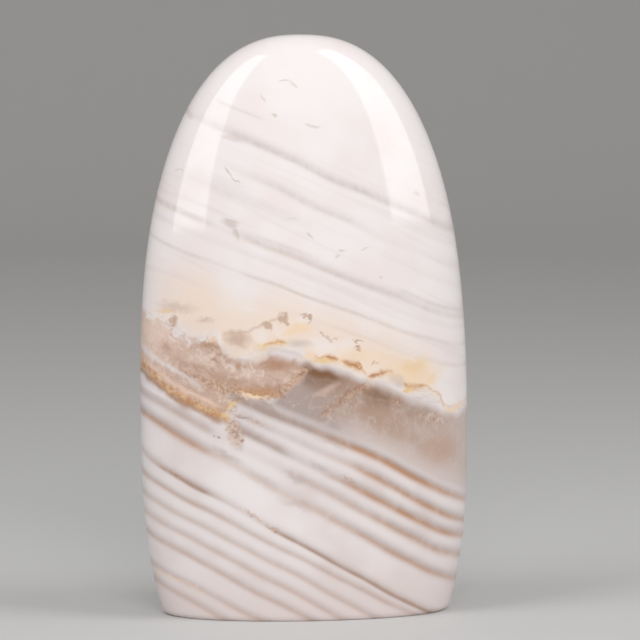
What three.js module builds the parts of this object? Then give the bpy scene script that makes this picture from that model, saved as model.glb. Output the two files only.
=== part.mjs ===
// A free-standing piece of white banded agate, ground to a tall arch and polished all over.
// It is one solid stone. Every level section is an ellipse, the outline is a rounded arch that
// draws in a little towards the foot, and the base is ground flat with an eased edge.
// Millimetres, +Z up, the front face towards -Y, the origin at the middle of the base.

import * as THREE from 'three';
import { mergeVertices } from 'three/addons/utils/BufferGeometryUtils.js';

// Driving dimensions
const HEIGHT = 130;
const WIDTH = 74;
const THICKNESS = 36;
// Height of the widest section above the base
const WIDEST_AT = 47;
// Roundness of the arch above the widest section: 2 is an ellipse, more is fuller at the shoulders
const ARCH_POWER = 2.41;
// Share of the half width that is lost from the widest section down to the base, and how late
const FOOT_SHARE = 0.126;
const FOOT_POWER = 3.2;
// Height of the eased edge around the base
const EDGE_RADIUS = 1.5;
// Sideways drift of the arch per millimetre above the widest section
const LEAN = -0.0102;

// Fineness of the solid
const SEGMENTS = 64;
const ARCH_STEPS = 20;
const FOOT_STEPS = 9;
const EDGE_STEPS = 5;

// Half width of the stone at a height below the widest section, before its edge is eased
function footHalfWidth(z) {
  const drop = (WIDEST_AT - z) / WIDEST_AT;
  return (WIDTH / 2) * (1 - FOOT_SHARE * drop ** FOOT_POWER);
}

// The right half of the outline, from the middle of the base to the top of the arch
function outline() {
  const points = [new THREE.Vector2(0, 0)];
  for (let i = 0; i < EDGE_STEPS; i += 1) {
    const angle = (Math.PI / 2) * (i / EDGE_STEPS);
    const z = EDGE_RADIUS * (1 - Math.cos(angle));
    const inset = EDGE_RADIUS * (1 - Math.sin(angle));
    points.push(new THREE.Vector2(footHalfWidth(z) - inset, z));
  }
  for (let i = 0; i < FOOT_STEPS; i += 1) {
    const z = EDGE_RADIUS + (WIDEST_AT - EDGE_RADIUS) * (i / FOOT_STEPS);
    points.push(new THREE.Vector2(footHalfWidth(z), z));
  }
  for (let i = 0; i < ARCH_STEPS; i += 1) {
    const angle = (Math.PI / 2) * (i / ARCH_STEPS);
    const across = Math.cos(angle) ** (2 / ARCH_POWER);
    const up = Math.sin(angle) ** (2 / ARCH_POWER);
    points.push(new THREE.Vector2((WIDTH / 2) * across, WIDEST_AT + (HEIGHT - WIDEST_AT) * up));
  }
  points.push(new THREE.Vector2(0, HEIGHT));
  return points;
}

// Moves each level section sideways, so that the arch leans a little to its left
function leanArch(geometry) {
  const position = geometry.getAttribute('position');
  for (let i = 0; i < position.count; i += 1) {
    const rise = position.getZ(i) - WIDEST_AT;
    position.setX(i, position.getX(i) + LEAN * rise);
  }
}

// Leaves out the triangles that shrink to a line at the two ends of the turned outline
function dropFlatTriangles(geometry) {
  const index = geometry.getIndex();
  const kept = [];
  for (let i = 0; i < index.count; i += 3) {
    const corners = [index.getX(i), index.getX(i + 1), index.getX(i + 2)];
    if (new Set(corners).size === 3) {
      kept.push(...corners);
    }
  }
  geometry.setIndex(kept);
}

// The stone: its outline turned about the upright axis, flattened from front to back, and leaned
function stoneGeometry() {
  const turned = new THREE.LatheGeometry(outline(), SEGMENTS);
  turned.rotateX(Math.PI / 2);
  turned.scale(1, THICKNESS / WIDTH, 1);
  leanArch(turned);
  turned.deleteAttribute('normal');
  turned.deleteAttribute('uv');
  const solid = mergeVertices(turned);
  dropFlatTriangles(solid);
  solid.computeVertexNormals();
  return solid;
}

const agate = new THREE.MeshStandardMaterial({
  name: 'agate',
  color: 0xe9deda,
  roughness: 0.12,
  metalness: 0,
});

const stone = new THREE.Mesh(stoneGeometry(), agate);
stone.name = 'stone';

const part = new THREE.Group();
part.name = 'banded_agate';
part.add(stone);

export default part;
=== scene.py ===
import math

import bpy
import numpy as np
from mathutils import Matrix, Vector


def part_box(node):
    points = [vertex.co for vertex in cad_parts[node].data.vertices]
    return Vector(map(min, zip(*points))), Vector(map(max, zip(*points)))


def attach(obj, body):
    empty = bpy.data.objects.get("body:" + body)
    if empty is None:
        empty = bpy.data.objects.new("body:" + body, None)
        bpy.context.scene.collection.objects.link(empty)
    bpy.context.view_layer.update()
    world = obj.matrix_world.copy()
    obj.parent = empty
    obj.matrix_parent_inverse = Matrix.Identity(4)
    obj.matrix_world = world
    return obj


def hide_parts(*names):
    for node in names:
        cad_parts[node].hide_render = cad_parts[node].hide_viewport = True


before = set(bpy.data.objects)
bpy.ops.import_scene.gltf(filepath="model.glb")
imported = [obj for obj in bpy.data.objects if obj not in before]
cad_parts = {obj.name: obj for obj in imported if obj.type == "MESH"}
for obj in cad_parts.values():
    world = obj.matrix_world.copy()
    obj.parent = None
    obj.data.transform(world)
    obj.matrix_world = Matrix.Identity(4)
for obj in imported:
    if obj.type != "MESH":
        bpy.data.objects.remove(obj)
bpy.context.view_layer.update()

# Stone
# One natural piece of white agate, banded in tan and grey and healed across an old break. It was sawn
# from the rough, ground on wheels to a tall arch with a flat base and an eased edge, and polished all
# over to a wet gloss.

MM = 0.001
LOWEST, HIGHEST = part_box("stone")
HEIGHT = HIGHEST.z - LOWEST.z
HALF_WIDTH = (HIGHEST.x - LOWEST.x) / 2
HALF_THICKNESS = (HIGHEST.y - LOWEST.y) / 2
WIDEST_AT = 47 * MM
ARCH_POWER = 2.41
FOOT_SHARE = 0.126
FOOT_POWER = 3.2
EDGE_RADIUS = 1.5 * MM
LEAN = -0.0102
# Hand polishing: how high its waves are as a share of the half width, then for each wave how often it goes
# round the stone, how fast it turns on the way up, where it starts and how much it weighs.
POLISH_WAVE = 0.0022
POLISH_WAVES = ((3, 9, 0.0, 1.0), (5, -14, 1.3, 0.7), (2, 21, 0.0, 0.5))
CALM_AT_BASE, CALM_AT_TOP = 6, 6
RINGS_ON_BASE, RINGS_ON_EDGE, RINGS_ON_FOOT, RINGS_ON_ARCH = 6, 12, 60, 110
SEGMENTS = 420


def outline():
    """Half widths and heights along the outline, from the middle of the base to the top of the arch.

    The base runs straight out. The eased edge is a quarter circle set inside the foot. The foot loses a
    share of the half width that grows as a power of the drop below the widest section. The arch is a
    superellipse: the cosine and the sine of an angle, each raised to two over its power.
    """
    angle = np.linspace(0, math.pi / 2, RINGS_ON_EDGE, endpoint=False)
    edge_z = EDGE_RADIUS * (1 - np.cos(angle))
    foot_z = np.linspace(EDGE_RADIUS, WIDEST_AT, RINGS_ON_FOOT, endpoint=False)
    low_z = np.concatenate([edge_z, foot_z])
    low_r = HALF_WIDTH * (1 - FOOT_SHARE * ((WIDEST_AT - low_z) / WIDEST_AT) ** FOOT_POWER)
    low_r[:RINGS_ON_EDGE] -= EDGE_RADIUS * (1 - np.sin(angle))
    base_r = np.linspace(0, low_r[0], RINGS_ON_BASE, endpoint=False)
    angle = np.linspace(0, math.pi / 2, RINGS_ON_ARCH)
    arch_r = HALF_WIDTH * np.maximum(np.cos(angle), 0) ** (2 / ARCH_POWER)
    arch_z = WIDEST_AT + (HEIGHT - WIDEST_AT) * np.sin(angle) ** (2 / ARCH_POWER)
    arch_r[-1] = 0
    radii = np.concatenate([base_r, low_r, arch_r])
    heights = np.concatenate([0 * base_r, low_z, arch_z])
    return radii, heights


def stone_points():
    """Grid of points, one row for each ring of the outline.

    Each ring is an ellipse as wide as the outline and flattened to the stone's thickness. A few long, low
    sine waves round the ring and up the stone, which die out at the base and the top, stand for hand
    polishing. Each ring is then moved sideways by a share of its height above the widest section.
    """
    radii, heights = outline()
    turn = np.linspace(0, 2 * math.pi, SEGMENTS, endpoint=False)[None, :]
    r, z = radii[:, None], heights[:, None]
    share = z / HEIGHT
    calm = np.clip(share * CALM_AT_BASE, 0, 1) * (1 - share ** CALM_AT_TOP)
    wave = 0
    for often, rise, start, weight in POLISH_WAVES:
        wave = wave + weight * np.sin(often * turn + rise * share + start)
    total = sum(weight for _, _, _, weight in POLISH_WAVES)
    r = r * (1 + POLISH_WAVE * calm * wave / total)
    x = r * np.cos(turn) + LEAN * (z - WIDEST_AT)
    y = r * np.sin(turn) * HALF_THICKNESS / HALF_WIDTH
    return np.stack([x, y, z + 0 * turn], axis=-1)


def smooth_piece(name, points, faces):
    """Object at the origin with a smooth mesh of these points and faces."""
    mesh = bpy.data.meshes.new(name)
    mesh.from_pydata(points.tolist(), [], faces)
    mesh.polygons.foreach_set("use_smooth", np.ones(len(mesh.polygons), dtype=bool))
    mesh.update()
    made = bpy.data.objects.new(name, mesh)
    bpy.context.collection.objects.link(made)
    return made


def closed_rings(name, grid):
    """Mesh of a grid whose rows are closed rings and whose first and last rows have shrunk to a point."""
    rows, count = grid.shape[:2]
    ring = np.arange(count)
    after = np.roll(ring, -1)
    start = 1 + count * np.arange(rows - 3)[:, None]
    quads = np.stack([start + ring, start + after, start + count + after, start + count + ring], axis=-1)
    top = 1 + count * (rows - 2)
    last = top - count
    foot_fan = np.stack([after + 1, ring + 1, 0 * ring], axis=-1)
    top_fan = np.stack([last + ring, last + after, top + 0 * ring], axis=-1)
    points = np.concatenate([grid[0, :1], grid[1:-1].reshape(-1, 3), grid[-1, :1]])
    faces = quads.reshape(-1, 4).tolist() + foot_fan.tolist() + top_fan.tolist()
    return smooth_piece(name, points, faces)


stone = closed_rings("agate_stone", stone_points())

# The agate's colours lie inside the stone, so they are worked out from the place of each point.

agate = bpy.data.materials.new("agate")
agate.use_nodes = True
tree = agate.node_tree
tree.nodes.clear()


def put(kind, inputs, **settings):
    """Adds a node with its settings, each input fed by a plain value or by another node's output."""
    made = tree.nodes.new(kind)
    for name, value in settings.items():
        setattr(made, name, value)
    for key, value in inputs.items():
        if isinstance(value, bpy.types.NodeSocket):
            tree.links.new(value, made.inputs[key])
        else:
            made.inputs[key].default_value = value
    return made


def calc(operation, *operands):
    """One step of arithmetic."""
    return put("ShaderNodeMath", dict(enumerate(operands)), operation=operation).outputs[0]


def times(*factors):
    """Product of all the factors."""
    product = factors[0]
    for factor in factors[1:]:
        product = calc("MULTIPLY", product, factor)
    return product


def fade(value, start, end):
    """Rises smoothly from 0 to 1 as the value goes from start to end."""
    inputs = {0: value, 1: start, 2: end}
    return put("ShaderNodeMapRange", inputs, interpolation_type="SMOOTHSTEP").outputs[0]


def bell(away):
    """Bell curve: the exponential of minus the square, so 1 at nought and near 0 beyond 2 on both sides."""
    return calc("EXPONENT", calc("MULTIPLY", calc("MULTIPLY", away, away), -1))


def hump(value, middle, width):
    """Bell curve of a value: 1 at the middle, falling off over the width on both sides."""
    return bell(calc("DIVIDE", calc("SUBTRACT", value, middle), width))


coordinates = put("ShaderNodeTexCoord", {}).outputs["Object"]


def cloud(size, detail=3.0, roughness=0.5, distortion=0.0, place=coordinates):
    """Noise in the stone with lumps of about the given size in millimetres: a value and a colour."""
    inputs = {"Vector": place, "Scale": 1 / (size * MM), "Detail": detail, "Roughness": roughness}
    return put("ShaderNodeTexNoise", {**inputs, "Distortion": distortion}).outputs


def along(place, way):
    """How far a place lies along a direction: the product of the two summed over the three axes."""
    return put("ShaderNodeVectorMath", {0: place, 1: way}, operation="DOT_PRODUCT").outputs["Value"]


def shift(place, noise, reach):
    """A place moved by up to about the reach, in millimetres, the way that the noise's colour points."""
    centred = put("ShaderNodeVectorMath", {0: noise, 1: (0.5, 0.5, 0.5)}, operation="SUBTRACT").outputs[0]
    inputs = {0: centred, 1: (2 * reach, 2 * reach, 2 * reach), 2: place}
    return put("ShaderNodeVectorMath", inputs, operation="MULTIPLY_ADD").outputs[0]


def lay(under, over, *shares):
    """One colour laid on another by a share from 0 to 1: the product of all the shares given."""
    return put("ShaderNodeMix", {0: times(*shares), 6: under, 7: over}, data_type="RGBA").outputs[2]


def srgb(red, green, blue):
    """Colour given as screen values from 0 to 255, turned into the linear values that a shader takes."""
    screen = np.array([red, green, blue]) / 255
    linear = np.where(screen <= 0.04045, screen / 12.92, ((screen + 0.055) / 1.055) ** 2.4)
    return (*linear.tolist(), 1.0)


def patch(place, at, size, turn=0.0, soft=0.5):
    """Share that an egg-shaped patch covers: 1 inside, 0 outside, over a soft edge.

    The patch lies just under the front face. Its half sizes are across and up in millimetres, it is turned
    in degrees anticlockwise as seen from the front, and it reaches some way into the stone. The share
    falls with the distance from its middle, measured in half sizes.
    """
    angle = math.radians(turn)
    long_way = (math.cos(angle) / size[0], 0.0, math.sin(angle) / size[0])
    short_way = (-math.sin(angle) / size[1], 0.0, math.cos(angle) / size[1])
    middle = (at[0] * long_way[0] + at[1] * long_way[2], at[0] * short_way[0] + at[1] * short_way[2], 0.0)
    axes = {0: along(place, long_way), 1: along(place, short_way), 2: inward}
    local = put("ShaderNodeCombineXYZ", axes).outputs[0]
    away = put("ShaderNodeVectorMath", {0: local, 1: middle}, operation="DISTANCE").outputs["Value"]
    return fade(away, 1 + soft, 1 - soft)


def patches(place, shapes):
    """Share that a set of patches covers together: at each point the largest of their shares.

    Each patch is given by its place across and up, its half sizes, its turn, its softness and its strength.
    """
    share = None
    for at, size, turn, soft, strength in shapes:
        one = times(patch(place, at, size, turn, soft), strength)
        share = one if share is None else calc("MAXIMUM", share, one)
    return share


# The lines are drawn from one side of the stone to the other, between a lowest and a highest level.
REACH = 38.0
LINE_LOW, LINE_HIGH = 40.0, 72.0
ACROSS, INTO, UP = (1, 0, 0), (0, 1, 0), (0, 0, 1)


def level(across, points):
    """Value that changes smoothly across the stone, given from 0 to 1 at a few places in millimetres."""
    curve = put("ShaderNodeFloatCurve", {"Value": calc("MULTIPLY_ADD", across, 0.5 / REACH, 0.5)})
    line = curve.mapping.curves[0]
    places = [((x + REACH) / (2 * REACH), value) for x, value in points]
    line.points[0].location = places[0]
    line.points[1].location = places[-1]
    for place in places[1:-1]:
        line.points.new(*place)
    for point in line.points:
        point.handle_type = "AUTO_CLAMPED"
    curve.mapping.update()
    return curve.outputs[0]


def above(place, points):
    """Distance in millimetres above a line that is drawn across the stone through a few points."""
    shares = [(x, (z - LINE_LOW) / (LINE_HIGH - LINE_LOW)) for x, z in points]
    drawn = calc("MULTIPLY_ADD", level(along(place, ACROSS), shares), LINE_HIGH - LINE_LOW, LINE_LOW)
    return calc("SUBTRACT", along(place, UP), drawn)


# Place in the stone in millimetres. The layers dip away from the front face, so the back shows others of
# them. A bent place sways the layers gently and a swayed one a little more. A rough place breaks up the
# outlines of zones, a ragged one those of patches, and a frayed one those of fine lines.
PATCH_DEPTH, PATCH_REACH = -14.0, 30.0
DIP, SIDE_STEP = -9.0, 6.0
WISP_SLANT, WISP_SIZE = 20, (6, 3, 1.5)
LAYER_SLANT, LAYER_SIZE = 24, (34, 16, 1.7)
parted = put("ShaderNodeSeparateXYZ", {0: coordinates}).outputs
depth = calc("MULTIPLY_ADD", parted[1], 0.5 / HALF_THICKNESS, 0.5)
deeper = calc("MULTIPLY", depth, depth)
lift = put("ShaderNodeCombineXYZ", {0: times(deeper, SIDE_STEP), 2: times(deeper, DIP)}).outputs[0]
inputs = {0: coordinates, 1: (1 / MM, 1 / MM, 1 / MM), 2: lift}
dipped = put("ShaderNodeVectorMath", inputs, operation="MULTIPLY_ADD").outputs[0]
bent = shift(dipped, cloud(20, 1)[1], 1.0)
fine_sway = cloud(1.3, 3, 0.6)[1]
rough = shift(shift(bent, cloud(5, 3)[1], 2.4), fine_sway, 0.9)
ragged = shift(bent, fine_sway, 1.3)
swayed = shift(bent, cloud(4.5, 1)[1], 1.2)
frayed = shift(swayed, fine_sway, 0.6)
x, z = along(bent, ACROSS), along(bent, UP)
rough_x = along(rough, ACROSS)
swayed_x = along(swayed, ACROSS)
inward = calc("DIVIDE", calc("SUBTRACT", along(bent, INTO), PATCH_DEPTH), PATCH_REACH)
grain = cloud(0.7, 3, 0.6)[0]
speckle = cloud(1.8, 4, 0.6)[0]
marble = cloud(6, 4, 0.6, 1.0)[0]
mottle = cloud(3.2, 4, 0.6, 1.6)[0]
haze = cloud(14, 2)[0]


def drawn_out(slant, size):
    """Object coordinates stretched along a slant, in degrees from level as seen from the front."""
    turned = {"Vector": coordinates, "Rotation": (0, math.radians(slant), 0), "Scale": size}
    return put("ShaderNodeMapping", turned, vector_type="TEXTURE").outputs[0]


wisps = cloud(1, 3, 0.6, 0.8, drawn_out(WISP_SLANT, WISP_SIZE))[0]
strata = cloud(1, 2, 0.5, 0.0, drawn_out(LAYER_SLANT, LAYER_SIZE))[0]

# Ground of the stone: rosy white above the old break, cream close over it, white with a lilac cast below.
# The rim is a milky ribbon that healed the break right across the stone.
RIM = (
    (-38, 66), (-28, 66), (-22, 64), (-20.5, 61.5), (-18, 60), (-15.5, 59.2), (-12, 60), (-8, 61),
    (-4, 60.3), (0, 57.7), (4, 56.9), (8, 55.8), (11, 54.5), (14, 54), (16, 53.6), (18, 52.7),
    (20, 51.7), (22, 50.8), (24, 50.1), (26, 49.4), (28, 48.4), (30, 46.7), (33, 45.7), (38, 45.4),
)
WHITE = srgb(234, 226, 224)
ROSY_WHITE = srgb(232, 220, 217)
CREAM = srgb(233, 213, 197)
LILAC_WHITE = srgb(226, 217, 216)
PALE_LILAC = srgb(217, 204, 201)
above_rim = above(bent, RIM)
upper = lay(WHITE, ROSY_WHITE, fade(haze, 0.4, 0.7))
cream_share = times(fade(above_rim, 17, 5), fade(x, -38, -25), fade(x, 34, 16), fade(marble, 0.1, 0.45))
upper = lay(upper, CREAM, cream_share, 0.95)
lower = lay(LILAC_WHITE, PALE_LILAC, fade(haze, 0.45, 0.75))
lower = lay(lower, WHITE, patch(bent, (-13, 28), (13, 5), -29, 0.8), 0.55)
# The ground turns darker, to pale lilac, over the lowest 16 mm towards the base.
lower = lay(lower, PALE_LILAC, fade(z, 16, 0))
above_rim_swayed = above(swayed, RIM)
colour = lay(lower, upper, fade(above_rim_swayed, -1.2, 0.6))

# Bands: each has its height in the middle of the stone, its slope and bend, how far it spreads above and
# below, how tan its lower side is on the left and on the right, and its strength at a few places across.
# They turn a little more level near the right-hand side.
GREY_STAIN = srgb(168, 150, 143)
TAN_STAIN = srgb(180, 135, 102)
BANDS = (
    (42.8, 0.44, 0.0026, 1.8, 1.1, 0.1, 1.0,
     ((-20, 0), (-17, 0.9), (-11, 1.0), (0, 0.9), (20, 0.95), (30, 0.75), (38, 0.5))),
    (38.8, 0.49, 0.0019, 1.6, 1.0, 0.2, 1.0,
     ((-18, 0), (-14, 0.45), (-6, 0.35), (6, 0.4), (10, 0.7), (22, 0.85), (38, 0.55))),
    (34.5, 0.525, 0.0004, 1.7, 1.0, 0.1, 1.0,
     ((-18, 0), (-14, 0.85), (-8, 0.75), (-3, 0.35), (3, 0.55), (10, 0.8), (22, 0.9), (38, 0.55))),
    (30.5, 0.535, 0.0004, 1.6, 1.1, 0.4, 0.8,
     ((-38, 0.5), (-25, 0.6), (-20, 0.1), (-8, 0.2), (-2, 0.45), (12, 0.6), (20, 0.75), (38, 0.5))),
    (25.3, 0.55, 0.0004, 1.7, 1.1, 0.9, 0.8,
     ((-38, 0.6), (-33, 0.8), (-26, 0.75), (-20, 0.3), (-16, 0.3), (-8, 0.3), (3, 0.5), (18, 0.75),
      (38, 0.5))),
    (15.9, 0.565, 0.0007, 1.3, 0.6, 0.5, 0.6,
     ((-38, 0.4), (-34, 0.5), (-26, 0.65), (-21, 0.4), (-14, 0.25), (-6, 0.5), (18, 0.5), (38, 0.4))),
    (15.6, 0.565, 0.0007, 0.65, 0.45, 0.2, 0.2,
     ((-34, 0), (-27, 0.55), (-21, 0.05), (-12, 0.1), (-6, 0.5), (5, 0.6), (18, 0.65), (38, 0.4))),
    (12.6, 0.53, 0.0004, 1.05, 0.75, 0.7, 0.7,
     ((-38, 0.5), (-28, 0.6), (-14, 0.45), (8, 0.5), (38, 0.2))),
    (8.2, 0.56, 0.0013, 1.2, 0.8, 0.7, 0.6,
     ((-38, 0.4), (-10, 0.44), (10, 0.44), (38, 0.2))),
    (3.9, 0.57, 0.0014, 1.2, 0.8, 0.7, 0.6,
     ((-38, 0.4), (-10, 0.46), (10, 0.44), (38, 0.2))),
    (-0.4, 0.567, 0.0012, 1.2, 0.8, 0.7, 0.6,
     ((-38, 0.5), (-10, 0.52), (10, 0.47), (38, 0.2))),
    (-5.4, 0.5, 0.0008, 1.15, 0.8, 0.7, 0.6,
     ((-38, 0.38), (0, 0.44), (38, 0.2))),
    (-9.6, 0.51, 0.0006, 1.15, 0.8, 0.7, 0.6,
     ((-38, 0.44), (0, 0.38), (38, 0.2))),
)
FAINT_BANDS = (
    (100.2, 0.445, 0.0004, 1.4, 0.7, 0.0, 0.0,
     ((-27, 0.1), (-20, 0.4), (-12, 0.75), (4, 0.7), (10, 0.75), (17, 0.6), (26, 0.6), (38, 0.5))),
    (106.6, 0.42, 0.0, 0.5, 0.4, 0.0, 0.0,
     ((-20, 0), (-16, 0.4), (-12, 0.3), (-8, 0), (38, 0))),
    (92.4, 0.455, 0.0006, 1.1, 0.7, 0.0, 0.0,
     ((-22, 0), (-14, 0.25), (-5, 0.5), (6, 0.45), (16, 0.1), (38, 0.1))),
    (87.0, 0.42, 0.0004, 1.6, 0.8, 0.0, 0.0,
     ((-30, 0), (-20, 0.3), (-8, 0.2), (4, 0), (38, 0.1))),
    (79.1, 0.40, 0.0003, 1.2, 0.7, 0.6, 0.3,
     ((-38, 0.3), (-31, 0.6), (-25, 0.6), (-20, 0.15), (-13, 0.65), (4, 0.7), (20, 0.5), (38, 0.3))),
    (80.7, 0.40, 0.0003, 0.5, 0.5, 0.3, 0.3,
     ((-16, 0), (-6, 0.3), (4, 0), (17, 0), (22, 0.4), (34, 0.35), (38, 0.2))),
    (76.0, 0.385, 0.0, 1.0, 0.6, 0.3, 0.3,
     ((-38, 0.1), (-20, 0.15), (0, 0.25), (10, 0.2), (38, 0.15))),
    (71.7, 0.36, 0.0, 0.5, 0.45, 1.0, 1.0,
     ((-38, 0.4), (-26, 0.45), (-20, 0.2), (-12, 0.5), (2, 0.55), (12, 0.5), (24, 0.4), (38, 0.2))),
    (66.9, 0.35, 0.0, 0.7, 0.5, 1.0, 1.0,
     ((-24, 0), (0, 0.1), (8, 0.3), (20, 0.2), (38, 0.3))),
)
LEVEL_FROM, LEVEL_RATE = 25.0, 0.005
TAN_FROM, TAN_TO = 0.8, 0.5
FAINTEST = 0.02
x_squared = calc("MULTIPLY", x, x)
rightward = fade(x, -4, 12)
beyond = calc("MAXIMUM", calc("SUBTRACT", x, LEVEL_FROM), 0.0)
levelled = calc("MULTIPLY_ADD", calc("MULTIPLY", beyond, beyond), -LEVEL_RATE, z)


def above_band(height, slope, bend):
    """Distance in millimetres above a band.

    It is the height of the place plus the slope times the place across plus the bend times its square, less
    the band's own height.
    """
    tilted = calc("MULTIPLY_ADD", x, slope, levelled)
    return calc("SUBTRACT", calc("MULTIPLY_ADD", x_squared, bend, tilted), height)


def band(height, slope, bend, spread_above, spread_below, left_tan, right_tan, strengths):
    """Strength of one band, and how much of it is tan.

    The strength is a bell curve of the distance from the band, wider above than below, times a strength
    that changes across the stone. The tan lies on the band's lower side.
    """
    away = above_band(height, slope, bend)
    upward = calc("DIVIDE", calc("MAXIMUM", away, 0.0), spread_above)
    downward = calc("DIVIDE", calc("MINIMUM", away, 0.0), spread_below)
    strength = calc("MULTIPLY", bell(calc("ADD", upward, downward)), level(x, strengths))
    tan = calc("MULTIPLY_ADD", rightward, right_tan - left_tan, left_tan)
    return strength, times(strength, tan, fade(away, TAN_FROM * spread_above, -TAN_TO * spread_below))


def stacked(bands):
    """Strength and tan of a whole set of bands, added up."""
    strength, tan = band(*bands[0])
    for values in bands[1:]:
        more, more_tan = band(*values)
        strength = calc("ADD", strength, more)
        tan = calc("ADD", tan, more_tan)
    return strength, tan


uneven = calc("MULTIPLY_ADD", fade(marble, 0.25, 0.6), 0.25, 0.85)
grainy = calc("MULTIPLY_ADD", fade(speckle, 0.35, 0.6), 0.3, 0.8)
strength, tan = stacked(BANDS)
stain = lay(GREY_STAIN, TAN_STAIN, calc("DIVIDE", tan, calc("MAXIMUM", strength, FAINTEST)))
colour = lay(colour, stain, calc("MINIMUM", times(strength, fade(above_rim, 0.0, -1.5), uneven), 1.0))
SMUDGES = (
    ((-19.5, 36.7), (3.0, 0.9), -25, 0.9, 0.4),
    ((-12.0, 31.8), (3.0, 1.0), -27, 0.9, 0.25),
    ((-4.0, 32.8), (2.5, 0.7), -25, 0.9, 0.4),
    ((-4.5, 26.6), (3.0, 0.9), -25, 0.9, 0.3),
    ((1.0, 34.6), (2.0, 0.7), -25, 0.8, 0.3),
    ((3.5, 39.5), (3.0, 0.6), -22, 0.9, 0.25),
    ((-16.0, 46.4), (1.4, 0.5), -15, 0.7, 0.8),
    ((-11.0, 48.2), (2.6, 0.5), -20, 0.8, 0.7),
)
colour = lay(colour, GREY_STAIN, patches(rough, SMUDGES))
FAINT_STAIN = srgb(204, 191, 189)
FAINT_TAN = srgb(208, 187, 173)
strength, tan = stacked(FAINT_BANDS)
stain = lay(FAINT_STAIN, FAINT_TAN, calc("DIVIDE", tan, calc("MAXIMUM", strength, FAINTEST)))
colour = lay(colour, stain, strength, fade(above_rim, 0.0, 1.5), uneven, grainy)
colour = lay(colour, FAINT_STAIN, fade(strata, 0.48, 0.72), fade(above_rim, 3, 12), fade(z, 112, 92), 0.2)

# Stained zone under the rim on the right: brown close under the rim, grey and lilac towards the bands.
SOFT_BROWN = srgb(175, 147, 130)
GREY_LILAC = srgb(165, 148, 142)
PALE_GREY = srgb(203, 188, 183)
DARK_BROWN = srgb(122, 84, 54)
CORE = (
    (-38, 57), (-4, 56.4), (0, 55.6), (3, 55.0), (6, 54.0), (9, 52.4), (12, 51.1), (15, 50.6),
    (17.2, 50.0), (20, 49), (24, 47.5), (27, 46.6), (32, 44.5), (38, 43),
)
CORE_STRENGTHS = (
    (-8, 0), (-4, 0.35), (-1.5, 0.9), (2, 0.95), (5, 0.65), (7, 0.35), (9.5, 0.25), (11, 0.45),
    (14, 0.7), (16.8, 0.65), (17.8, 0.35), (24, 0.4), (28, 0.15), (38, 0),
)
ZONE_MIDDLE, ZONE_SLANT = 50.0, 0.8
first_band = above_band(*BANDS[0][:3])
zone_edge = calc("MULTIPLY_ADD", calc("SUBTRACT", z, ZONE_MIDDLE), -ZONE_SLANT, swayed_x)
zone = times(fade(above_rim_swayed, 0.2, -2.2), fade(first_band, 0.8, 3.2), fade(zone_edge, -10.0, -7.5))
colour = lay(colour, GREY_LILAC, zone, fade(swayed_x, 18, 0), 0.95)
colour = lay(colour, PALE_GREY, zone, fade(swayed_x, 2, 14), 0.9)
browner = times(zone, fade(first_band, 1.5, 9.0), fade(swayed_x, -9.0, 11.0), fade(swayed_x, 52.0, 12.0))
colour = lay(colour, SOFT_BROWN, browner, calc("MULTIPLY_ADD", fade(marble, 0.3, 0.6), 0.3, 0.7))
colour = lay(colour, PALE_GREY, zone, fade(mottle, 0.48, 0.7), 0.4)
colour = lay(colour, TAN_STAIN, zone, patch(swayed, (29.5, 37), (4, 3.2), -15, 0.8), 0.4)
above_core = above(swayed, CORE)
core_bell = calc("MAXIMUM", hump(above_core, -0.1, 1.3), times(hump(above_core, -1.3, 2.2), 0.65))
colour = lay(colour, DARK_BROWN, core_bell, level(x, CORE_STRENGTHS), fade(above_rim_swayed, 0.6, -0.8))

# Crushed part on the left: a rosy paste of fragments, browner towards its foot, with pale wisps.
ROSE = srgb(200, 171, 155)
PALE_ROSE = srgb(229, 200, 185)
CLAY = srgb(176, 140, 117)
MILK = srgb(230, 211, 198)
UMBER = srgb(156, 122, 102)
CRUSHED_TOP = (
    (-38, 67), (-33, 66), (-30, 64.5), (-28, 63), (-25, 62.6), (-22, 62.8), (-20, 60.6), (-17, 58.6),
    (-14, 58.6), (-10, 59.2), (-7, 58.8), (-5, 57.8), (-2, 57), (0, 56.8), (38, 50),
)
CRUST = (
    (-38, 58), (-35, 55.2), (-32, 52.6), (-29, 50.6), (-25, 48.7), (-21, 46.6), (-19.3, 47.5),
    (-18.5, 50), (-16, 51), (-13, 50.8), (-10.5, 50.2), (-8.5, 51), (-6, 53), (-4, 54.5), (-1, 56.5),
    (4, 62), (38, 70),
)
BROWN_STREAK = (
    (-38, 60), (-30, 57.5), (-25, 55.6), (-20, 53.9), (-15, 53), (-10, 52.8), (-6, 54.3), (38, 58),
)
TOP_BREAKUP = 9.0
above_crust = above(rough, CRUST)
under_top = above(rough, CRUSHED_TOP)
broken_top = calc("MULTIPLY_ADD", calc("SUBTRACT", mottle, 0.5), TOP_BREAKUP, under_top)
crushed = times(fade(above_crust, -1.0, 0.9), fade(broken_top, 1.8, -1.8), fade(rough_x, 0.5, -2.5))
streak = times(hump(above(rough, BROWN_STREAK), 0.0, 2.0), fade(x, -34, -28), fade(x, -9, -15))
wispy = times(fade(wisps, 0.42, 0.7), 0.5)
clay_share = calc("MAXIMUM", wispy, times(streak, fade(marble, 0.3, 0.55), 0.8))
paste = lay(ROSE, CLAY, clay_share)
paste = lay(paste, PALE_ROSE, patch(swayed, (-37, 64), (9, 7), -20, 0.6), 0.75)
paste = lay(paste, MILK, fade(mottle, 0.48, 0.68), fade(streak, 1.3, 0.3), 0.55)
outlines = fade(calc("ABSOLUTE", calc("SUBTRACT", mottle, 0.47)), 0.035, 0.0)
paste = lay(paste, UMBER, outlines, fade(speckle, 0.4, 0.6), 0.3)
colour = lay(colour, paste, crushed, 0.95)
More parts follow.
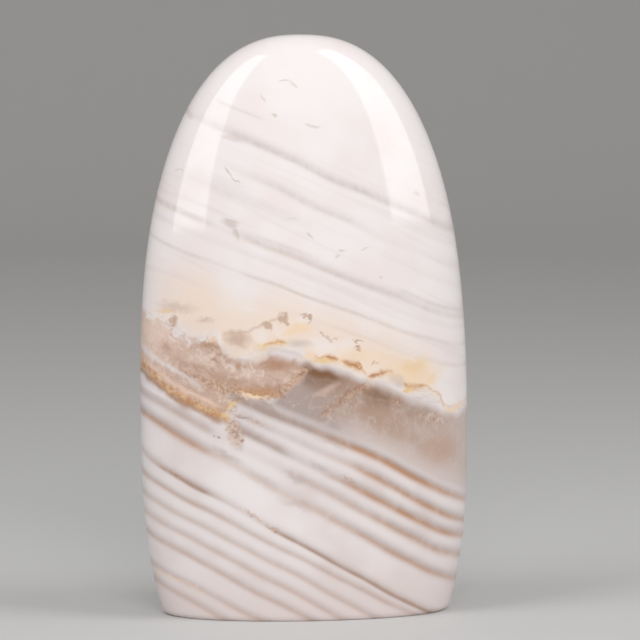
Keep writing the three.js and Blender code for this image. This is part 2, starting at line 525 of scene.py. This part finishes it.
SMEARS = (
    ((-29.2, 69.5), (3.0, 1.0), -4, 0.9, 0.35),
    ((-29.7, 66.4), (0.7, 1.3), -10, 0.6, 0.7),
    ((-23.6, 66.9), (1.4, 0.6), 10, 0.9, 0.4),
    ((-31.2, 59.7), (0.9, 1.5), 10, 0.8, 0.55),
    ((-22.8, 61.3), (2.0, 0.7), -10, 0.8, 0.85),
    ((-21.6, 58.0), (1.0, 0.3), -35, 0.6, 0.8),
    ((-20.0, 59.0), (1.6, 0.5), -35, 0.8, 0.7),
    ((-16.6, 56.9), (0.4, 1.1), 15, 0.7, 0.7),
    ((-17.0, 62.8), (2.3, 1.5), -12, 0.8, 0.6),
    ((-10.5, 51.8), (4.0, 1.2), 5, 0.8, 0.9),
)
MILKY_PATCHES = (
    ((-25.0, 65.2), (4.0, 1.6), -8, 0.6, 0.9),
    ((-20.9, 63.2), (0.8, 2.2), 8, 0.5, 0.9),
    ((-16.0, 60.2), (3.6, 1.0), -14, 0.6, 0.8),
    ((-33.5, 63.5), (2.6, 2.0), 0, 0.9, 0.4),
    ((-15.0, 55.6), (3.6, 1.0), -12, 0.9, 0.3),
    ((-24.0, 57.6), (2.6, 0.9), -20, 0.9, 0.4),
)
colour = lay(colour, MILK, patches(rough, MILKY_PATCHES), 0.9)
colour = lay(colour, CLAY, patches(ragged, SMEARS))
WHITE_CLOUDS = (
    ((-12.6, 63.4), (1.5, 1.7), 10, 0.8, 0.45),
    ((-7.8, 64.6), (1.7, 1.3), 0, 0.8, 0.6),
    ((-20.6, 62.8), (0.7, 1.8), 10, 0.7, 0.7),
    ((-3.0, 66.8), (1.6, 1.0), -20, 0.7, 0.5),
    ((2.6, 61.2), (3.0, 1.5), -12, 0.7, 0.6),
    ((7.6, 60.6), (3.0, 1.5), -10, 0.7, 0.6),
    ((12.6, 58.6), (2.2, 1.1), -15, 0.7, 0.6),
)
colour = lay(colour, WHITE, patches(rough, WHITE_CLOUDS))
LENS_BROWN = srgb(173, 130, 104)
colour = lay(colour, LENS_BROWN, patch(swayed, (-8.6, 57.7), (4.0, 1.2), -3, 0.8), 0.9)

# Vein of gold grains that closes the crushed part below, under a milky streak and over a brown edge.
GOLD = srgb(190, 135, 86)
PALE_GOLD = srgb(217, 179, 140)
BROWN_EDGE = srgb(160, 124, 102)
STREAK = ((-38, 61), (-34, 58), (-30.5, 55.9), (-27, 53.6), (-22, 50.8), (38, 30))
PALE_STREAK = ((-38, 58.6), (-33, 54.3), (-29, 51.7), (-25, 49.6), (-21, 47.8), (38, 40))
VEIN = (
    (-38, 58), (-35.5, 55.4), (-33, 52.8), (-30, 50.2), (-27, 48.6), (-24, 47.2), (-21, 45.8),
    (-19, 45.1), (38, 40),
)
VEIN_EDGE = ((-38, 56), (-35, 53.2), (-32, 50.3), (-29, 48.4), (-25, 46.5), (-20.5, 44.6), (38, 40))
colour = lay(colour, PALE_ROSE, hump(above(swayed, PALE_STREAK), 0.0, 0.7), fade(x, -20, -23), 0.8)
colour = lay(colour, LILAC_WHITE, hump(above(frayed, STREAK), 0.0, 0.7), fade(x, -23, -27), 0.7)
colour = lay(colour, BROWN_EDGE, hump(above(swayed, VEIN_EDGE), 0.2, 1.0), fade(x, -19.5, -21.5), 0.85)
gold = lay(GOLD, PALE_GOLD, fade(speckle, 0.38, 0.66))
gold = lay(gold, BROWN_EDGE, fade(grain, 0.5, 0.66), 0.5)
above_vein = above(ragged, VEIN)
gold = lay(gold, BROWN_EDGE, fade(above_vein, 0.2, -1.4), 0.6)
colour = lay(colour, gold, hump(above_vein, 0.0, 1.3), fade(x, -18.3, -20), 0.95)

# Granular crust along the foot of the crushed part, and healed cracks in the stained zone.
CRUST_LINE = (
    (-38, 58), (-28, 55), (-26, 54), (-22, 52.6), (-18, 51.5), (-14, 51.3), (-11, 50.5), (-8.5, 51.2),
    (-6, 53.2), (-4, 54.8), (0, 57), (38, 58),
)
CRUST_STRENGTHS = (
    (-30, 0), (-26, 0.7), (-22, 0.9), (-17, 1.0), (-12, 0.9), (-8, 0.9), (-4, 0.8), (-1, 0), (38, 0),
)
CRUMBS = (
    ((-4.4, 54.7), (1.1, 0.6), 40, 0.5, 0.9),
    ((-2.6, 55.7), (1.2, 0.5), 25, 0.5, 0.8),
    ((2.6, 47.4), (2.0, 1.2), 50, 0.8, 0.6),
    ((5.2, 49.5), (2.0, 1.0), 42, 0.8, 0.6),
    ((7.8, 51.0), (1.9, 0.8), 35, 0.8, 0.7),
    ((10.8, 52.4), (1.8, 0.8), 22, 0.6, 0.85),
    ((12.1, 54.0), (0.6, 1.0), 0, 0.6, 0.8),
    ((18.6, 49.0), (0.8, 0.7), 0, 0.6, 0.8),
    ((28.0, 44.4), (3.6, 1.0), -15, 0.7, 0.6),
    ((-18.6, 47.8), (1.1, 1.8), -10, 0.8, 0.8),
    ((-17.2, 49.4), (1.5, 0.5), 20, 0.7, 0.9),
    ((-17.7, 42.4), (1.5, 3.4), 22, 0.7, 1.0),
    ((-13.0, 45.0), (2.0, 0.5), -20, 0.8, 0.5),
    ((7.2, 31.8), (1.4, 0.5), -30, 0.7, 0.6),
    ((-14.0, 24.2), (2.2, 0.3), -29, 0.7, 0.6),
    ((-9.5, 21.2), (1.6, 0.35), -28, 0.7, 0.7),
    ((-30.0, 32.3), (1.6, 0.5), -30, 0.7, 0.5),
)
CRUMB_DARK = srgb(154, 117, 93)
CRUMB_PALE = srgb(203, 170, 145)
crumbs = lay(CRUMB_DARK, CRUMB_PALE, fade(grain, 0.4, 0.58))
crust = times(hump(above(frayed, CRUST_LINE), 0.0, 0.95), level(x, CRUST_STRENGTHS))
colour = lay(colour, crumbs, calc("MAXIMUM", crust, patches(ragged, CRUMBS)), 0.75)
HEALED_CRACK = (
    (-38, 44), (1, 46.6), (3, 48), (5.5, 49.8), (8, 51.3), (11, 52.6), (12.6, 53.8), (38, 54),
)
on_crack = hump(above(frayed, HEALED_CRACK), 0.0, 0.5)
crack = times(on_crack, fade(x, 0.5, 2.5), fade(x, 13.2, 12.2), fade(speckle, 0.35, 0.55))
colour = lay(colour, CRUMB_DARK, crack, 0.65)
crumbled = patch(ragged, (28.6, 44.7), (4.2, 1.1), -14, 0.8)
colour = lay(colour, PALE_GREY, crumbled, fade(speckle, 0.4, 0.6), 0.8)
colour = lay(colour, GOLD, patch(ragged, (-13.0, 51.3), (4.4, 0.8), -4, 0.8), 0.5)
colour = lay(colour, PALE_ROSE, patch(frayed, (2.6, 52.2), (2.4, 0.7), 22, 0.9), 0.42)
CRACKS = (
    ((-7.2, 50.4), (1.7, 0.16), -52, 0.6, 0.5),
    ((-8.2, 51.6), (1.2, 0.2), -70, 0.6, 0.5),
    ((7.6, 48.9), (1.5, 0.14), -50, 0.6, 0.35),
    ((-3.4, 55.1), (1.2, 0.18), 30, 0.6, 0.7),
    ((-21.3, 41.2), (0.4, 0.3), 0, 0.5, 0.7),
    ((-22.2, 41.3), (0.25, 0.25), 0, 0.5, 0.5),
    ((-15.7, 40.3), (0.35, 0.4), 0, 0.5, 0.8),
)
colour = lay(colour, CRUMB_DARK, patches(ragged, CRACKS))

# Milky rim, wider on the right, with grey lenses over it and a lace of gold and brown on top.
RIM_WHITE = srgb(228, 218, 215)
RIM_SHADE = srgb(207, 194, 190)
RIM_CREAM = srgb(227, 205, 185)
RUST = srgb(180, 127, 85)
GLOW = srgb(230, 193, 146)
LACE = (
    (-38, 60), (-12, 61.2), (-10.5, 61.8), (-9, 62.1), (-7, 62.3), (-5, 62), (-2, 60.2), (0, 59.2),
    (2, 58.9), (4, 58.8), (6, 57.9), (8, 57.5), (9.7, 57.2), (11, 55.8), (12.5, 54.8), (14, 55.1),
    (15.5, 55.8), (17, 56.3), (18.5, 55.2), (20, 53.2), (21.5, 52.5), (24, 52.1), (26, 51.8),
    (28, 50.4), (29.5, 48.7), (30.5, 47.4), (32, 46.9), (34, 46.8), (38, 47.4),
)
LACE_STRENGTHS = (
    (-12, 0), (-10, 0.52), (-8, 0.55), (-6, 0.15), (-3, 0.05), (0, 0.3), (2, 0.55), (4, 0.8),
    (5.5, 0.4), (7, 0.95), (9.5, 0.95), (10.5, 0.4), (11.5, 0.35), (13, 0.7), (16, 0.6), (17.5, 0.5),
    (18.2, 0.05), (20, 0.2), (21.5, 0.9), (24, 0.85), (25.5, 0.4), (28, 0.35), (29.5, 0.4), (31, 0.3),
    (38, 0.2),
)
RIM_WIDTHS = (
    (-21, 0.3), (-17, 0.4), (-8, 0.45), (0, 0.42), (10, 0.44), (15, 0.65), (22, 0.75), (28, 0.65),
    (34, 0.45), (38, 0.4),
)
RIM_WIDTH_SCALE = 2.5
across_rim = calc("DIVIDE", above_rim_swayed, calc("MULTIPLY", level(x, RIM_WIDTHS), RIM_WIDTH_SCALE))
rim = times(fade(across_rim, 1.4, 0.4), fade(across_rim, -2.0, -0.3), fade(x, -22, -20.5))
ribbon = lay(RIM_SHADE, RIM_WHITE, fade(across_rim, -1.0, 0.2))
ribbon = lay(ribbon, RIM_SHADE, fade(wisps, 0.42, 0.65), 0.6)
ribbon = lay(ribbon, RIM_CREAM, fade(x, -6, -14), fade(mottle, 0.35, 0.6), 0.7)
RIM_STRENGTHS = (
    (-22, 0.9), (-8, 0.9), (-3, 0.85), (1, 0.7), (8, 0.75), (13, 0.95), (26, 0.95), (38, 0.9),
)
colour = lay(colour, ribbon, rim, level(x, RIM_STRENGTHS))
GREY_LENSES = (
    ((18.6, 54.4), (2.6, 1.1), -35, 0.6, 0.95),
    ((-3.6, 62.0), (2.3, 0.9), -8, 0.8, 0.8),
)
colour = lay(colour, PALE_GREY, patches(swayed, GREY_LENSES))
LACE_THINNEST, LACE_SWELL = 0.2, 0.6
above_lace = above(frayed, LACE)
lace_share = level(x, LACE_STRENGTHS)
colour = lay(colour, GLOW, hump(above_lace, -0.2, 1.0), lace_share, 0.75)
thickness = calc("MULTIPLY_ADD", times(lace_share, lace_share), LACE_SWELL, LACE_THINNEST)
off_lace = calc("DIVIDE", above_lace, thickness)
lace = times(bell(off_lace), fade(lace_share, 0.05, 0.8), fade(grain, 0.25, 0.5))
colour = lay(colour, RUST, lace)
HAIRLINE = (
    (-38, 63), (-19.5, 64.1), (-17, 64.6), (-14, 65.3), (-11.5, 66.2), (-9, 67), (-7.5, 68.4),
    (38, 70),
)
hairline = times(hump(above(frayed, HAIRLINE), 0.0, 0.4), fade(x, -21, -18.5), fade(x, -6.5, -8))
colour = lay(colour, CLAY, hairline, 0.35)

# Peach and yellow flushes, most of them above the rim and a few along the crust and the vein.
PEACH_FLUSHES = (
    ((-4.0, 64.9), (3.4, 1.3), 0, 0.6, 0.8),
    ((11.0, 58.9), (5.5, 1.6), -8, 0.8, 0.65),
    ((22.6, 55.6), (5.4, 2.7), -10, 0.8, 0.85),
    ((27.0, 53.8), (1.5, 1.7), 0, 0.6, 0.9),
    ((33.2, 46.1), (2.6, 0.6), -3, 0.7, 0.9),
    ((-1.2, 59.4), (1.2, 0.5), 0, 0.7, 0.8),
    ((-22.0, 62.4), (1.0, 0.7), -20, 0.7, 0.6),
    ((-13.4, 50.2), (2.6, 0.42), -10, 0.6, 0.9),
    ((-30.0, 8.0), (4.5, 0.3), -22, 0.8, 0.4),
)
YELLOW_FLUSHES = (
    ((1.5, 58.1), (2.2, 0.7), -5, 0.7, 0.7),
    ((-11.6, 61.4), (2.0, 0.7), 12, 0.8, 0.4),
    ((21.1, 51.7), (0.9, 0.55), 0, 0.6, 0.9),
    ((22.5, 57.0), (2.6, 1.2), 0, 0.9, 0.4),
    ((-8.8, 61.9), (1.9, 0.6), 6, 0.8, 0.5),
    ((-18.6, 48.2), (1.4, 0.5), 42, 0.9, 0.7),
    ((-19.8, 45.8), (0.9, 0.6), -30, 0.9, 0.7),
    ((-31.4, 68.5), (1.7, 0.4), 12, 0.9, 0.55),
)
PEACH = srgb(236, 207, 175)
YELLOW = srgb(226, 190, 130)
colour = lay(colour, PEACH, patches(rough, PEACH_FLUSHES))
colour = lay(colour, YELLOW, patches(ragged, YELLOW_FLUSHES))

# Inclusions: small angular flecks, brown close over the rim and grey higher up, made of a few strokes.
FLECK = srgb(190, 158, 138)
FLECKS = (
    ((-7.2, 67.3), (1.2, 0.8), 35, 0.4, 0.8),
    ((-6.5, 68.1), (0.4, 1.0), -15, 0.4, 0.75),
    ((-6.5, 66.5), (0.8, 0.5), -35, 0.4, 0.75),
    ((-10.5, 65.6), (0.9, 0.95), 15, 0.3, 0.75),
    ((-11.5, 66.3), (0.6, 0.18), 15, 0.4, 0.6),
    ((-2.2, 68.2), (1.2, 0.3), -20, 0.4, 0.7),
    ((-1.2, 67.7), (0.8, 0.5), 30, 0.35, 0.85),
    ((-1.3, 66.6), (0.6, 0.2), 70, 0.4, 0.7),
    ((1.8, 63.8), (1.0, 0.25), -48, 0.4, 0.7),
    ((3.2, 62.6), (0.9, 0.5), -50, 0.5, 0.5),
    ((4.4, 62.9), (0.7, 0.2), 15, 0.4, 0.5),
    ((9.8, 62.2), (1.1, 0.18), -18, 0.4, 0.8),
    ((9.8, 60.9), (0.6, 0.5), 10, 0.4, 0.9),
    ((9.0, 60.6), (0.4, 0.15), 20, 0.4, 0.7),
    ((12.8, 57.6), (0.5, 0.35), 40, 0.5, 0.6),
    ((14.0, 57.7), (0.7, 0.2), -10, 0.5, 0.5),
)
colour = lay(colour, FLECK, patches(ragged, FLECKS))
GREY_FLECK = srgb(204, 189, 182)
GREY_FLECKS = (
    ((-18.2, 88.6), (1.7, 0.8), -15, 0.5, 0.8),
    ((-17.2, 86.4), (0.6, 1.5), 10, 0.5, 0.75),
    ((-18.5, 99.2), (1.4, 0.3), -60, 0.5, 0.8),
    ((-17.3, 97.5), (0.9, 0.22), -20, 0.5, 0.8),
    ((-25.5, 111.3), (1.5, 0.6), -20, 0.6, 0.5),
    ((-17.0, 106.9), (2.2, 0.6), -18, 0.6, 0.5),
    ((-5.6, 119.5), (0.9, 0.22), 15, 0.5, 0.8),
    ((-4.0, 118.9), (1.2, 0.3), -40, 0.6, 0.5),
    ((-10.0, 116.1), (0.9, 0.2), -45, 0.5, 0.6),
    ((-8.2, 111.6), (0.7, 0.22), 0, 0.5, 0.8),
    ((0.0, 109.9), (1.4, 0.3), 5, 0.6, 0.6),
    ((-1.3, 85.8), (1.0, 0.2), -50, 0.5, 0.7),
    ((5.7, 82.4), (0.7, 0.3), 0, 0.5, 0.6),
    ((5.0, 80.9), (0.5, 0.5), 0, 0.6, 0.6),
    ((11.0, 82.7), (1.0, 0.18), 5, 0.5, 0.6),
    ((15.0, 76.2), (0.4, 0.4), 0, 0.6, 0.5),
    ((24.3, 94.2), (0.8, 0.3), -20, 0.6, 0.5),
    ((-4.8, 89.2), (1.2, 0.15), 0, 0.5, 0.5),
    ((-28.8, 99.0), (0.8, 0.2), 30, 0.5, 0.4),
)
colour = lay(colour, GREY_FLECK, patches(frayed, GREY_FLECKS))

# Polish: a wet gloss, a little duller and less even where the stone is crushed.
GLOSS_ROUGHNESS, SPECKLE_ROUGHNESS, DULL_ROUGHNESS = 0.06, 0.05, 0.14
RELIEF_STRENGTH, RELIEF_HEIGHT = 0.1, 0.1 * MM
AGATE_IOR = 1.54
dull = times(crushed, fade(grain, 0.45, 0.7))
even_gloss = calc("MULTIPLY_ADD", speckle, SPECKLE_ROUGHNESS, GLOSS_ROUGHNESS)
roughness = calc("MULTIPLY_ADD", dull, DULL_ROUGHNESS, even_gloss)
height = calc("ADD", grain, times(haze, 2.0))
bumps = {"Strength": times(crushed, RELIEF_STRENGTH), "Distance": RELIEF_HEIGHT, "Height": height}
relief = put("ShaderNodeBump", bumps).outputs[0]
shading = {"Base Color": colour, "Roughness": roughness, "IOR": AGATE_IOR, "Normal": relief}
shader = put("ShaderNodeBsdfPrincipled", shading)
put("ShaderNodeOutputMaterial", {"Surface": shader.outputs[0]})

stone.data.materials.append(agate)
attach(stone, "root")
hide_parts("stone")

# Studio floor
# A pale seamless paper that the stone stands on. It lies flat, and far behind every view it is swept up
# into a low wall all round.

FLOOR_RADIUS, SWEEP_RADIUS, WALL_HEIGHT = 1.4, 1.0, 0.4
FLOOR_COLOUR = srgb(212, 210, 208)
FLOOR_ROUGHNESS = 0.7
DISC_RADII = (0, 0.5, 1.0)
RINGS_ON_SWEEP, FLOOR_SEGMENTS = 24, 128


def sweep_points():
    """Grid of points of a round tray: a flat disc, a quarter-circle sweep and a wall, turned round."""
    angle = np.linspace(0, math.pi / 2, RINGS_ON_SWEEP)
    swept = FLOOR_RADIUS + SWEEP_RADIUS * np.sin(angle)
    rising = SWEEP_RADIUS * (1 - np.cos(angle))
    radius = np.concatenate([DISC_RADII, swept, [FLOOR_RADIUS + SWEEP_RADIUS]])
    height = np.concatenate([np.zeros(len(DISC_RADII)), rising, [SWEEP_RADIUS + WALL_HEIGHT]])
    turn = np.linspace(0, 2 * math.pi, FLOOR_SEGMENTS, endpoint=False)
    x = radius[:, None] * np.cos(turn)
    y = radius[:, None] * np.sin(turn)
    return np.stack([x, y, height[:, None] + 0 * turn], axis=-1)


def tray(name, grid):
    """Mesh of a grid whose rows are closed rings and whose first row has shrunk to a point."""
    rows, count = grid.shape[:2]
    ring = np.arange(count)
    after = np.roll(ring, -1)
    start = 1 + count * np.arange(rows - 2)[:, None]
    quads = np.stack([start + ring, start + after, start + count + after, start + count + ring], axis=-1)
    fan = np.stack([0 * ring, ring + 1, after + 1], axis=-1)
    points = np.concatenate([grid[0, :1], grid[1:].reshape(-1, 3)])
    faces = fan.tolist() + quads[:, :, ::-1].reshape(-1, 4).tolist()
    return smooth_piece(name, points, faces)


floor = tray("paper_floor", sweep_points())
paper = bpy.data.materials.new("paper")
paper.use_nodes = True
paper_shader = paper.node_tree.nodes["Principled BSDF"]
paper_shader.inputs["Base Color"].default_value = FLOOR_COLOUR
paper_shader.inputs["Roughness"].default_value = FLOOR_ROUGHNESS
floor.data.materials.append(paper)

# Studio light
# Two tall soft boxes in front of the stone, one to each side, whose reflections follow the arch. A wide
# soft lamp far in front fills the face without showing in the polish, and a pale sky lights the rest.

BOX_DISTANCE, BOX_TURN = 0.5, 61
BOX_WIDTH, BOX_BOTTOM, BOX_TOP = 0.3, 0.16, 1.5
BOX_POWER = 3.2
BOX_COLOUR = (0.93, 0.97, 1.0)
FILL_SIZE, FILL_SPREAD, FILL_POWER = 0.9, 60, 1.68
FILL_PLACE = Vector((0.0, -1.4, 0.5))
FILL_AIM = Vector((0.0, 0.0, 0.05))
SKY_COLOUR = (1.0, 1.0, 1.0, 1.0)
SKY_STRENGTH = 0.37


def soft_box(name, turn):
    """An upright area light at a compass turn in degrees from the front, facing the stone."""
    light = bpy.data.lights.new(name, "AREA")
    light.shape = "RECTANGLE"
    light.color = BOX_COLOUR
    light.size = BOX_WIDTH
    light.size_y = BOX_TOP - BOX_BOTTOM
    light.energy = BOX_POWER
    lamp = bpy.data.objects.new(name, light)
    angle = math.radians(turn)
    away = Vector((math.sin(angle), -math.cos(angle), 0))
    lamp.location = away * BOX_DISTANCE + Vector((0, 0, (BOX_BOTTOM + BOX_TOP) / 2))
    lamp.rotation_euler = (-away).to_track_quat("-Z", "Y").to_euler()
    bpy.context.collection.objects.link(lamp)


soft_box("left_soft_box", -BOX_TURN)
soft_box("right_soft_box", BOX_TURN)
fill = bpy.data.lights.new("front_fill", "AREA")
fill.size = FILL_SIZE
fill.spread = math.radians(FILL_SPREAD)
fill.energy = FILL_POWER
fill_lamp = bpy.data.objects.new("front_fill", fill)
fill_lamp.location = FILL_PLACE
fill_lamp.rotation_euler = (FILL_AIM - FILL_PLACE).to_track_quat("-Z", "Y").to_euler()
fill_lamp.visible_glossy = False
bpy.context.collection.objects.link(fill_lamp)
world = bpy.data.worlds.new("sky")
bpy.context.scene.world = world
world.use_nodes = True
sky = world.node_tree.nodes["Background"]
sky.inputs["Color"].default_value = SKY_COLOUR
sky.inputs["Strength"].default_value = SKY_STRENGTH
bpy.context.scene.view_settings.view_transform = "Standard"

# Camera
# A long lens at about the height of the stone's top and a little to its left. It looks slightly down, so
# that the front edge of the base shows its curve.

VIEW_DISTANCE, VIEW_TURN, VIEW_HEIGHT = 0.85, -8.0, 0.1317
AIM = Vector((0.00356, 0.0, 0.0659))
LENS, SENSOR_WIDTH = 213.3, 36
camera = bpy.data.cameras.new("camera")
camera.lens = LENS
camera.sensor_width = SENSOR_WIDTH
viewer = bpy.data.objects.new("camera", camera)
side = math.radians(VIEW_TURN)
viewer.location = (math.sin(side) * VIEW_DISTANCE, -math.cos(side) * VIEW_DISTANCE, VIEW_HEIGHT)
viewer.rotation_euler = (AIM - viewer.location).to_track_quat("-Z", "Y").to_euler()
bpy.context.collection.objects.link(viewer)
bpy.context.scene.camera = viewer
